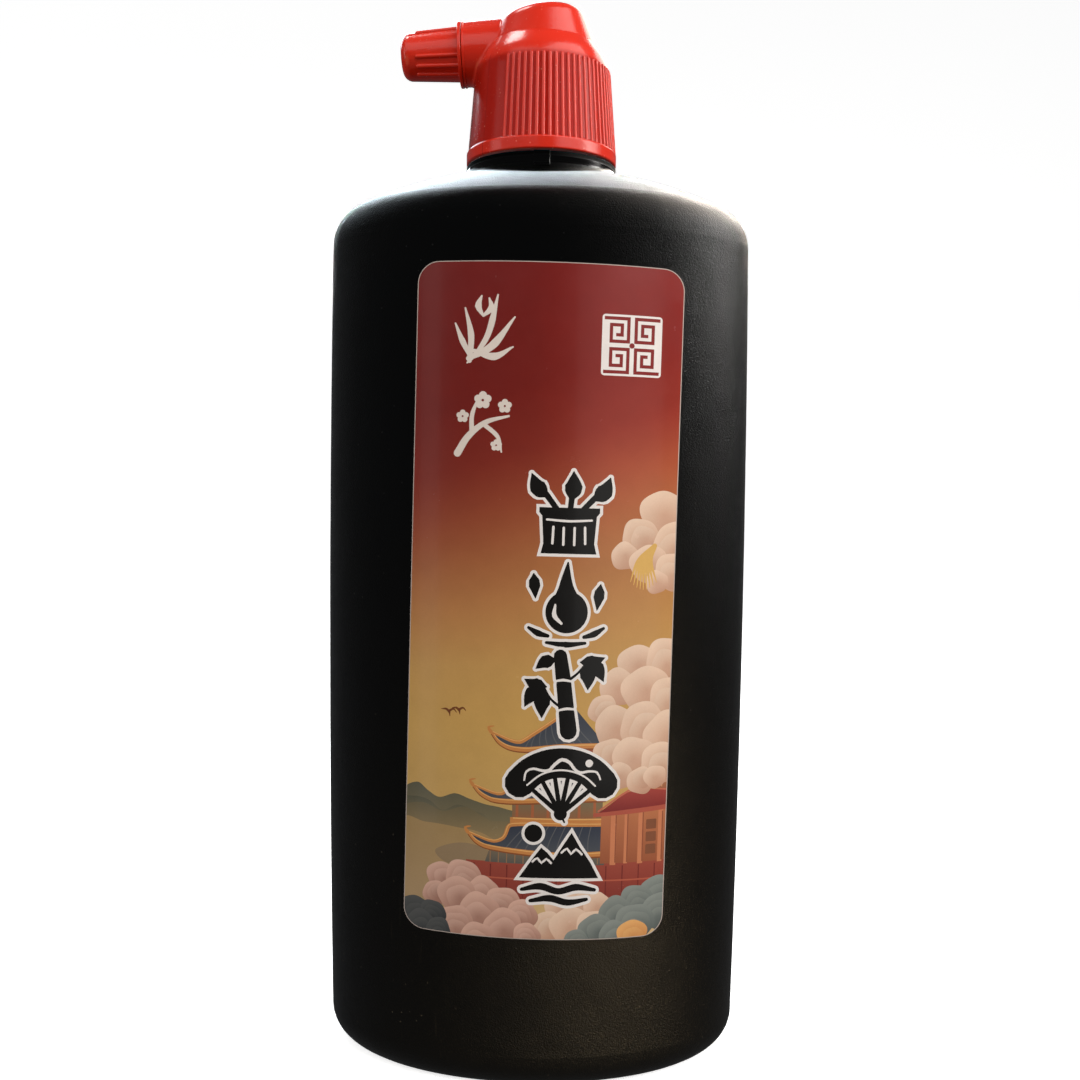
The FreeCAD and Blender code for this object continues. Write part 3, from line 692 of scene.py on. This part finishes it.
def roof(art, tip, low, foot, top, shoulder, right_low, tiles=9):
    """A curved tiled roof seen from the side, its left corner swept up to tip."""
    tip_u, tip_v = tip
    end_u, end_v = right_low
    upper = smooth([tip, ((tip_u + foot[0]) / 2 + 1.2, low + 0.9), foot, shoulder, top])
    lower = smooth([
        tip, (tip_u + 2.0, low + 0.4), (tip_u + 6.0, low - 0.5), (end_u - 8, end_v - 0.2), right_low,
    ])
    outline = np.concatenate([upper, lower[::-1]])
    art.paint(outline, fade(TILE_LOW, TILE_HIGH, min(outline[:, 1]), max(outline[:, 1])))
    for k in range(tiles):
        t = (k + 1) / (tiles + 1)
        a = upper[int(len(upper) * (0.45 + 0.5 * t))]
        b = lower[int(len(lower) * (0.25 + 0.7 * t))]
        art.paint(stroke([a, (a + b) / 2 + (-0.3, -0.2), b], [0.16, 0.22]), TILE_LINE)
    eave, ridge = lower[::4], upper[::3]
    art.paint(stroke(eave, [0.5, 1.0, 1.15, 1.15]), GOLD)
    art.paint(stroke(eave + (0.1, 0.28), [0.16, 0.22, 0.22]), GOLD_LIGHT)
    art.paint(stroke(eave + (0.1, -0.52), [0.16, 0.3, 0.3]), GOLD_DARK)
    art.paint(stroke(ridge, [0.4, 0.75, 0.7, 0.6]), GOLD)
    art.paint(stroke(ridge + (-0.05, 0.18), [0.14, 0.18, 0.18]), GOLD_LIGHT)
    curl = [tip, (tip_u - 0.5, tip_v + 0.8), (tip_u + 0.5, tip_v + 1.1)]
    art.paint(stroke(curl, [0.7, 0.5, 0.2]), GOLD)


def pavilion(art):
    """A pavilion of three storeys over a red wall, with a hall beside it."""
    # the red wall in front, and the lowest storey's railing
    art.paint(
        [(12.4, 7.6), (50, 7.0), (50, 14.8), (12.0, 14.6)], fade((128, 52, 44), (156, 74, 58), 7, 16)
    )
    bars(art, 12, 13.6, 3.1, 8.0, 14.0, 0.22, RED_DARK)
    art.paint(band((12.6, 11.6), (50, 11.2), 0.3), (176, 88, 66))
    art.paint(
        [(15.6, 14.5), (38, 14.3), (38, 16.8), (16.4, 16.9)], fade((88, 84, 78), (120, 104, 84), 14, 17)
    )
    bars(art, 14, 16.6, 1.55, 14.6, 16.5, 0.18, (150, 112, 80))
    # the middle and upper storeys
    art.paint(
        [(20.6, 21.8), (37.4, 21.8), (37.4, 26.9), (20.4, 27.0)], fade((150, 92, 60), (118, 110, 84), 22, 27)
    )
    art.paint(band((20.8, 22.6), (37.4, 22.6), 1.3), GOLD)
    art.paint(band((20.8, 23.1), (37.4, 23.1), 0.25), GOLD_LIGHT)
    bars(art, 6, 21.4, 2.9, 23.6, 26.6, 0.5, (166, 96, 62))
    art.paint(
        [(24.4, 31.0), (36.8, 31.0), (36.8, 36.8), (24.2, 36.2)], fade((122, 62, 48), (160, 84, 58), 31, 37)
    )
    bars(art, 5, 25.2, 2.6, 31.2, 36.2, 0.5, (176, 104, 66))
    roof(art, (12.2, 19.9), 17.6, (19.4, 19.6), (37.8, 22.0), (21.2, 21.9), (37.6, 16.4))
    roof(art, (12.9, 29.0), 26.7, (19.6, 28.4), (36.6, 33.6), (24.6, 32.8), (38.2, 27.0))
    roof(art, (16.1, 39.2), 36.6, (23.6, 38.8), (31.4, 44.4), (27.6, 41.6), (37.8, 37.0))
    # the hall at the right
    art.paint(
        [(37.2, 14.6), (50, 14.6), (50, 25.6), (37.2, 24.6)], fade((150, 84, 56), (182, 112, 74), 14, 25)
    )
    for u, w in ((39.6, 1.1), (42.0, 0.7), (44.8, 1.0), (48.6, 0.9)):
        art.paint(band((u, 14.8), (u, 24.0), w), (198, 122, 84))
        art.paint(band((u + w * 0.4, 14.8), (u + w * 0.4, 24.0), 0.2), (140, 78, 54))
    for v in (16.0, 18.4, 20.8):
        art.paint(rounded_box(45.8, v, 47.8, v + 1.9, 0.2, 2), (128, 78, 54))
    art.paint(
        [(36.0, 23.8), (41.4, 27.8), (44.4, 28.9), (50, 28.0), (50, 24.6)],
        fade((122, 44, 42), (164, 70, 60), 24, 29),
    )
    art.paint(stroke([(36.0, 23.9), (43, 24.4), (50, 24.9)], [0.7, 0.9, 0.9]), (172, 84, 66))
    ridge = [(36.6, 24.6), (41.4, 27.9), (44.4, 29.0), (50, 28.2)]
    art.paint(stroke(ridge, [0.3, 0.4, 0.4, 0.4]), (190, 104, 80))
    art.paint(
        [(43.6, 28.9), (50, 28.4), (50, 30.8), (43.8, 31.0)], fade((150, 92, 66), (176, 118, 84), 28, 31)
    )
    bars(art, 6, 44.2, 1.1, 28.9, 30.8, 0.2, BEAM)
    art.paint(band((43.6, 31.0), (50, 30.7), 0.35), BEAM)


def hills(art):
    """Four ranges, from the furthest to the shore, and an island before them."""
    art.paint(
        smooth([(-1, 25.8), (2, 28.4), (4.4, 27.0), (6.6, 26.0), (9.6, 27.0), (12.4, 26.2), (15.4, 25.4),
                (19, 24.8), (24, 23.0), (24, 18.0), (10, 18), (-1, 18)], True),
        fade((132, 116, 84), (92, 88, 70), 19, 28))
    art.paint(
        smooth([(-1, 24.4), (1.6, 25.6), (4.6, 25.2), (7.2, 23.6), (10.2, 24.9), (13.2, 24.0), (15.8, 22.8),
                (16, 18.0), (8, 17.8), (-1, 18)], True),
        fade((146, 126, 90), (84, 82, 66), 19, 26))
    art.paint(
        smooth([(-1, 22.8), (3.2, 24.6), (7.4, 23.4), (11.6, 24.6), (16.4, 22.4), (20.4, 22.0),
                (20, 17), (8, 16.6), (-1, 17)], True),
        fade((150, 126, 88), (104, 94, 70), 18, 25))
    art.paint(
        smooth([(-1, 20.4), (4, 20.9), (9.8, 20.6), (16, 19.4), (22, 14), (12, 6), (-1, 6)], True),
        fade((172, 142, 104), (162, 132, 88), 8, 20))
    art.paint(
        smooth([(6, 15.6), (9.4, 17.4), (13.2, 17.6), (17, 16.0), (17, 13.2), (9, 13.4)], True),
        (146, 122, 92))


BIRD = (112, 62, 34)


def birds(art):
    """Two small birds, each of two wings and a body."""
    for u, v, s in ((8.1, 42.5, 1.0), (10.0, 42.9, 0.9)):
        left = [(u - 1.5 * s, v + 0.35 * s), (u - 0.6 * s, v + 0.4 * s), (u, v - 0.1 * s)]
        right = [(u + 1.4 * s, v - 0.1 * s), (u + 0.8 * s, v + 0.5 * s), (u, v + 0.1 * s)]
        art.paint(stroke(left, [0.12, 0.42, 0.5], step=0.2), BIRD)
        art.paint(stroke(right, [0.12, 0.36, 0.46], step=0.2), BIRD)
        art.paint(stroke([(u, v + 0.1), (u + 0.15 * s, v - 0.9 * s)], [0.45, 0.12], step=0.2), BIRD)


CREAM = (230, 198, 172)
CREAM_DARK = (184, 134, 108)
ROSE = (216, 172, 152)
ROSE_DARK = (146, 100, 84)
SLATE = (136, 140, 132)
SLATE_DARK = (74, 80, 78)
DEEP = (84, 84, 82)
DEEP_DARK = (44, 46, 48)
AMBER = (226, 168, 104)
AMBER_DARK = (184, 112, 62)

BIG_CLOUD = (
    (43.2, 52.2, 3.9, 110), (48.9, 53.0, 4.3, 70), (39.6, 48.0, 3.6, 140), (36.9, 43.8, 2.8, 160),
    (44.9, 47.4, 4.6, 105), (50.0, 45.6, 4.4, 60), (39.6, 40.4, 4.2, 150), (44.6, 40.8, 4.4, 120),
    (49.4, 38.8, 4.6, 80), (38.4, 35.2, 3.2, 190), (43.0, 34.6, 4.1, 130), (48.2, 33.4, 4.0, 95),
    (40.4, 31.2, 2.6, 220), (44.4, 30.2, 2.6, 240), (47.2, 30.8, 2.2, 100),
)
SMALL_CLOUD = (
    (47.0, 80.6, 4.4, 120), (42.8, 76.2, 3.5, 140), (40.0, 72.6, 2.6, 170), (49.6, 75.0, 4.2, 80),
    (44.6, 71.2, 3.6, 150), (49.4, 69.8, 3.6, 70), (46.2, 67.8, 2.2, 260),
)
ROSE_CLOUD = (
    (7.4, 10.8, 2.9, 130), (11.6, 11.0, 3.5, 100), (15.4, 8.4, 3.2, 70), (6.2, 7.4, 2.4, 190),
    (10.4, 7.6, 3.6, 120), (19.2, 6.6, 3.3, 60), (14.8, 4.6, 3.9, 95), (22.8, 4.6, 3.0, 50),
    (19.4, 2.2, 3.6, 80), (10.2, 2.0, 3.6, 120), (14.6, -0.4, 3.2, 90), (23.8, 0.6, 2.6, 60),
)
CORNER_CLOUD = ((2.2, 3.0, 3.4, 130), (5.8, 3.4, 2.6, 80), (3.6, 0.6, 3.2, 110), (7.0, 0.4, 2.4, 70))
CREAM_CLOUD = (
    (30.2, 6.0, 3.1, 120), (34.2, 7.4, 3.3, 100), (37.0, 6.4, 2.7, 60), (27.6, 2.6, 2.9, 150),
    (32.0, 2.6, 3.8, 110), (36.4, 2.4, 3.3, 70),
)
SLATE_CLOUD = (
    (48.6, 8.2, 3.6, 110), (44.4, 6.8, 3.4, 120), (40.6, 4.8, 3.4, 130), (48.8, 4.6, 3.6, 80),
    (36.8, 1.8, 3.2, 140), (44.2, 2.8, 3.8, 110), (40.6, 0.4, 3.2, 120), (33.2, -0.6, 2.6, 130),
)
AMBER_CLOUD = ((43.8, 0.6, 2.9, 95),)


TASSEL_TOP = (45.6, 74.6)
TASSEL_GOLD = (214, 168, 92)


def tassel(art):
    """A gold tassel of nine strands, hanging from the small cloud."""
    for k in range(9):
        tip = (41.2 + 0.62 * k, 68.6 - 2.2 * math.sin(0.35 + 0.3 * k))
        middle = ((TASSEL_TOP[0] + tip[0]) / 2 - 0.9, 71.8)
        art.paint(stroke([TASSEL_TOP, middle, tip], [0.9, 0.6, 0.12]), TASSEL_GOLD)


def paint_label():
    """The whole picture: hills under an evening sky, a pavilion among clouds, and the marks."""
    art = Art()
    hills(art)
    birds(art)
    pavilion(art)
    cloud(art, SMALL_CLOUD, CREAM, CREAM_DARK)
    tassel(art)
    cloud(art, BIG_CLOUD, CREAM, CREAM_DARK)
    cloud(art, CREAM_CLOUD, CREAM, CREAM_DARK)
    cloud(art, ROSE_CLOUD, ROSE, ROSE_DARK, 3)
    cloud(art, CORNER_CLOUD, DEEP, DEEP_DARK, 3)
    cloud(art, SLATE_CLOUD, SLATE, SLATE_DARK, 3)
    cloud(art, AMBER_CLOUD, AMBER, AMBER_DARK, 3)
    for mark, v in MARKS:
        art.ink_mark(mark, MARK_U, v, MARK_SIZE)
    for kind, *spec in ORCHID + BLOSSOM:
        art.paint(kind(*spec), PAPER_WHITE)
    for cu, cv, r in BLOSSOM_HEADS:
        flower(art, cu, cv, r, PAPER_WHITE)
    fret_square(art)
    return art


# ---------------------------------------------------------------- label mesh
CUT_EDGE = (186, 170, 160)
LABEL_BACKING = (206, 196, 186)
# Rows of extra points keep the triangles small: pace, from and to height, margin. The face has
# finer rows low down, where the picture is busiest.
FACE_ROWS = ((0.55, 1.0, 58, 1.0), (1.1, 58.4, 125, 1.0))
BACK_ROWS = (4.0, 3, 124, 3.0)
MERGE = 1e-5  # mm, points this near are one
SLIVER = 1e-9  # mm2, triangles under this are dropped


def inside(points, outline):
    """Which points lie in the closed outline."""
    found = np.zeros(len(points), bool)
    low, high = outline.min(0), outline.max(0)
    near = np.where(((points >= low) & (points <= high)).all(1))[0]
    if len(near) == 0:
        return found
    u, v = points[near, 0][:, None], points[near, 1][:, None]
    a, b = outline, np.roll(outline, -1, 0)
    crosses = (a[:, 1] > v) != (b[:, 1] > v)
    with np.errstate(divide="ignore", invalid="ignore"):
        at = (b[:, 0] - a[:, 0]) * (v - a[:, 1]) / (b[:, 1] - a[:, 1]) + a[:, 0]
    found[near] = (crosses & (u < at)).sum(1) % 2 == 1
    return found


def fine(loop, longest=0.9):
    """The closed loop with no side longer than that, so that it can follow the bottle."""
    made = []
    for a, b in zip(loop, np.roll(loop, -1, 0)):
        parts = max(1, math.ceil(np.linalg.norm(b - a) / longest))
        made += [a + (b - a) * k / parts for k in range(parts)]
    return np.array(made)


def triangulated(loops, extra):
    """Corner points and triangles of a plane cut along the loops, with extra points inside."""
    points, edges = [], []
    for loop in loops:
        start = len(points)
        points += [Vector(p) for p in loop]
        edges += [(start + i, start + (i + 1) % len(loop)) for i in range(len(loop))]
    points += [Vector(p) for p in extra]
    made = geometry.delaunay_2d_cdt(points, edges, [], 0, MERGE)
    return np.array([tuple(p) for p in made[0]]), np.array([tuple(t) for t in made[2]], int)


def doubled_area(uv, faces):
    """Twice each triangle's area, negative where its corners run clockwise."""
    a, b, c = (uv[faces[:, k]] for k in range(3))
    return np.cross(b - a, c - a)


def grid(step, v0, v1, margin):
    """Points in staggered rows across the label, from height v0 to v1."""
    return [
        (u + 0.5 * step * (j % 2), v)
        for j, v in enumerate(np.arange(v0, v1, step))
        for u in np.arange(margin, LABEL_W - margin, step)
        if u + 0.5 * step * (j % 2) < LABEL_W - margin
    ]


def label_outline(inset):
    """The label's own outline, that far in from its edge."""
    box = rounded_box(inset, inset, LABEL_W - inset, LABEL_H - inset, LABEL_CORNER - inset, 12)
    return fine(box)


def cut_face(art):
    """Points and triangles of the label's face, cut along every painted outline."""
    loops = [label_outline(0), label_outline(LABEL_CUT)] + [fine(outline) for outline, _ in art.layers]
    uv, faces = triangulated(loops, [point for rows in FACE_ROWS for point in grid(*rows)])
    faces = faces[inside(uv[faces].mean(1), loops[0])]
    area = doubled_area(uv, faces)
    faces, area = faces[np.abs(area) > SLIVER], area[np.abs(area) > SLIVER]
    faces[area < 0] = faces[area < 0][:, ::-1]
    return uv, faces


def face_colours(art, uv, faces):
    """Each triangle's corner colours, from the topmost painted region at its middle."""
    middles, corners = uv[faces].mean(1), uv[faces]
    colour = sky(corners.reshape(-1, 2)).reshape(-1, 3, 3)
    for outline, rule in art.layers:
        hit = inside(middles, outline)
        if hit.any():
            there = corners[hit].reshape(-1, 2)
            found = rule(there) if callable(rule) else np.tile(rule, (len(there), 1))
            colour[hit] = found.reshape(-1, 3, 3)
    colour[~inside(middles, label_outline(LABEL_CUT))] = CUT_EDGE
    return colour.reshape(-1, 3)


def border(faces):
    """The points round the triangles' outer edge, in order."""
    sides = {}
    for t in faces:
        sides.update({(t[0], t[1]): 1, (t[1], t[2]): 1, (t[2], t[0]): 1})
    after = {a: b for a, b in sides if (b, a) not in sides}
    ring = [next(iter(after))]
    while after[ring[-1]] != ring[0]:
        ring.append(after[ring[-1]])
    return ring


def spot(point):
    """A point's place as a key."""
    return round(point[0], 4), round(point[1], 4)


def make_label():
    """The printed film as one closed piece: its face, its rounded cut edge and its back."""
    art = paint_label()
    uv, faces = cut_face(art)
    ring = border(faces)
    back_uv, back_faces = triangulated([uv[ring]], grid(*BACK_ROWS))
    back_faces = back_faces[inside(back_uv[back_faces].mean(1), uv[ring])]
    outward = doubled_area(back_uv, back_faces) > 0
    back_faces[outward] = back_faces[outward][:, ::-1]
    front = on_bottle(uv, LABEL_FACE)
    front[ring] = on_bottle(uv[ring], LABEL_EDGE)
    back = on_bottle(back_uv, LABEL_BACK)
    # the cut edge joins each point of the border to its partner on the back
    n = len(uv)
    place = {spot(p): n + i for i, p in enumerate(back_uv)}
    partner = {i: place[spot(uv[i])] for i in ring}
    walls = [(a, partner[a], partner[b], b) for a, b in zip(ring, ring[1:] + ring[:1])]
    mesh = bpy.data.meshes.new("printed_label")
    mesh.from_pydata(
        np.concatenate([front, back]).tolist(), [], faces.tolist() + walls + (back_faces + n).tolist()
    )
    colours = np.ones((len(mesh.loops), 4), np.float32)
    colours[:, :3] = linear(LABEL_BACKING)
    colours[: 3 * len(faces), :3] = linear(face_colours(art, uv, faces))
    printed = mesh.color_attributes.new("print", "FLOAT_COLOR", "CORNER")
    printed.data.foreach_set("color", colours.ravel())
    # the face is shaded as the bottle's smooth wall, and the edge and back as they are
    normals = np.zeros((len(mesh.loops), 3))
    for polygon in mesh.polygons:
        normals[list(polygon.loop_indices)] = polygon.normal
    normals[: 3 * len(faces)] = facing(uv)[faces.ravel()]
    mesh.polygons.foreach_set("use_smooth", np.ones(len(mesh.polygons), bool))
    mesh.normals_split_custom_set(normals.tolist())
    mesh.materials.append(printed_film())
    label = bpy.data.objects.new("printed_label", mesh)
    bpy.context.scene.collection.objects.link(label)
    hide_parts("front_label")
    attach(label, "bottle")
    return label


# ---------------------------------------------------------------- studio
FLOOR_DROP = 0.0002  # m, so that the foot and the floor don't share a plane
STAGE_PROFILE = (  # radius and height in metres
    (0.0, 0.0), (0.9, 0.0), (1.12, 0.03), (1.32, 0.14), (1.45, 0.34), (1.5, 0.6), (1.5, 2.4),
)
STAGE_SIDES = 96
STAGE_WHITE = (0.86, 0.86, 0.86, 1)
STAGE_GLOW = 0.75  # the floor's own light, so that it stays pale in a dim room


def make_stage():
    """A pale floor that curves up into a wall all round."""
    curve = smooth(STAGE_PROFILE, step=0.08)
    sides = STAGE_SIDES
    points = [(0.0, 0.0, -FLOOR_DROP)]
    for r, z in curve[1:]:
        for k in range(sides):
            t = 2 * math.pi * k / sides
            points.append((r * math.cos(t), r * math.sin(t), z - FLOOR_DROP))
    faces = [(0, 1 + k, 1 + (k + 1) % sides) for k in range(sides)]
    for j in range(len(curve) - 2):
        for k in range(sides):
            a, b = 1 + j * sides + k, 1 + j * sides + (k + 1) % sides
            faces.append((a, a + sides, b + sides, b))
    mesh = bpy.data.meshes.new("studio_floor")
    mesh.from_pydata(points, [], faces)
    mesh.polygons.foreach_set("use_smooth", np.ones(len(mesh.polygons), bool))
    stage = bpy.data.objects.new("studio_floor", mesh)
    bpy.context.scene.collection.objects.link(stage)
    f = Finish("studio_white", Roughness=0.9, Specular_IOR_Level=0.1)
    f.shader.inputs["Base Color"].default_value = STAGE_WHITE
    f.shader.inputs["Emission Color"].default_value = (1, 1, 1, 1)
    f.shader.inputs["Emission Strength"].default_value = STAGE_GLOW
    mesh.materials.append(f.material)
    stage.visible_glossy = False
    stage.visible_diffuse = False
    stage.visible_shadow = False


SHOULDER = (0, 0, 0.17)
MIDDLE = (0, 0, 0.12)
COOL, WARM, WHITE = (0.80, 0.92, 1.0), (1.0, 0.90, 0.80), (1.0, 0.98, 0.95)
GOLDEN, ORANGE = (1.0, 0.78, 0.48), (1.0, 0.62, 0.30)
WIDE, NARROW = 180, 24  # degrees of beam
ROOM_COLOUR = (0.93, 0.96, 1.0, 1)
ROOM_LIGHT = 0.12

# What each lamp lights, its name, place, aim, size, power, colour and beam. "dome" is the body with
# nothing casting a shadow on it, and "others" is everything but the body.
LAMPS = (
    ("dome", "back_left", (-0.14, 0.54, 0.40), SHOULDER, (0.40, 0.30), 2.4, COOL, WIDE),
    ("dome", "back_right", (0.20, 0.52, 0.42), SHOULDER, (0.34, 0.30), 1.8, WARM, WIDE),
    ("body", "sky_left", (-0.30, 0.50, 0.62), SHOULDER, (0.62, 0.30), 1.2, COOL, WIDE),
    ("body", "sky_right", (0.36, 0.46, 0.60), SHOULDER, (0.50, 0.30), 2.7, WARM, WIDE),
    ("dome", "dome_left", (-0.14, 0.34, 0.51), SHOULDER, (0.22, 0.18), 1.15, COOL, WIDE),
    ("dome", "dome_right", (0.20, 0.32, 0.50), SHOULDER, (0.22, 0.18), 0.85, WARM, WIDE),
    ("dome", "dome_middle", (0.03, 0.33, 0.52), SHOULDER, (0.18, 0.16), 0.55, COOL, WIDE),
    ("body", "high_right", (0.40, 0.14, 0.60), SHOULDER, (0.34, 0.24), 1.7, WARM, WIDE),
    ("body", "beside_right", (0.50, 0.06, 0.42), (0.042, 0, 0.21), (0.20, 0.20), 0.13, WHITE, NARROW),
    ("body", "floor_glow", (0.30, -0.50, 0.05), (0.01, 0, -0.02), (0.40, 0.08), 0.2, GOLDEN, NARROW),
    ("others", "window_left", (-0.292, 0.549, 0.589), SHOULDER, (0.62, 0.26), 2.8, COOL, WIDE),
    ("others", "window_right", (0.330, 0.530, 0.580), SHOULDER, (0.56, 0.22), 1.6, WARM, WIDE),
    ("others", "glare_left", (-0.30, 0.12, 0.86), SHOULDER, (0.20, 0.20), 1.8, WHITE, WIDE),
    ("others", "key", (0.46, -0.34, 0.64), MIDDLE, (0.8, 0.7), 7.4, WHITE, WIDE),
    ("others", "fill", (-0.30, -0.52, 0.62), MIDDLE, (0.7, 0.5), 2.0, WHITE, WIDE),
    ("others", "side_left", (-0.66, -0.24, 0.30), MIDDLE, (0.22, 0.5), 0.7, WHITE, WIDE),
    ("others", "side_right", (0.66, -0.06, 0.34), MIDDLE, (0.3, 0.4), 1.5, WHITE, WIDE),
    ("caps", "under_glow", (-0.30, -0.26, 0.04), (-0.02, 0, 0.2), (0.3, 0.3), 0.35, ORANGE, WIDE),
    ("caps", "cap_right", (0.52, -0.10, 0.30), (0.01, 0, 0.185), (0.20, 0.30), 0.9, WARM, WIDE),
    ("label", "strip_left", (-0.44, -0.50, 0.14), MIDDLE, (0.10, 0.6), 0.10, WHITE, WIDE),
    ("label", "strip_right", (0.36, -0.60, 0.16), MIDDLE, (0.45, 0.6), 0.42, WHITE, WIDE),
)


def area_light(name, place, aim, size, power, colour, beam):
    """A soft box that the camera doesn't see."""
    data = bpy.data.lights.new(name, "AREA")
    data.shape = "RECTANGLE"
    data.size, data.size_y = size
    data.energy = power
    data.color = colour
    data.spread = math.radians(beam)
    lamp = bpy.data.objects.new(name, data)
    lamp.location = place
    lamp.rotation_mode = "QUATERNION"
    lamp.rotation_quaternion = (Vector(place) - Vector(aim)).to_track_quat("Z", "Y")
    lamp.visible_camera = False
    bpy.context.scene.collection.objects.link(lamp)
    return lamp


def make_lights(body, caps, label):
    """A dim room and the lamps, each kept to the pieces that it is for."""
    world = bpy.data.worlds.new("studio")
    world.use_nodes = True
    room = world.node_tree.nodes["Background"]
    room.inputs["Color"].default_value = ROOM_COLOUR
    room.inputs["Strength"].default_value = ROOM_LIGHT
    bpy.context.scene.world = world
    pieces = {"dome": body, "body": body, "others": body, "caps": caps, "label": label}
    for kind, name, *spec in LAMPS:
        lamp = area_light(name, *spec)
        if kind == "dome":
            lamp.data.use_shadow = False
            lamp.data.cycles.use_multiple_importance_sampling = False
        group = bpy.data.collections.new(name)
        for piece in pieces[kind]:
            group.objects.link(piece)
        for entry in group.collection_objects:
            entry.light_linking.link_state = "EXCLUDE" if kind == "others" else "INCLUDE"
        lamp.light_linking.receiver_collection = group


# ---------------------------------------------------------------- everything together
def dress(node, material):
    """Give a CAD piece its material and return it."""
    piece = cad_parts[node]
    piece.data.materials.clear()
    piece.data.materials.append(material)
    return piece


bpy.context.scene.view_settings.view_transform = "Standard"
make_camera()
make_stage()
bottle = dress("bottle_body", black_bottle())
cap = dress("dispensing_cap", red_plastic("red_cap", skirt=True))
nozzle_cap = dress("nozzle_cap", red_plastic("red_nozzle_cap", skirt=False))
dress("sealing_washer", foam())
dress("ink_fill", black_ink())
make_lights([bottle], [cap, nozzle_cap], [make_label()])
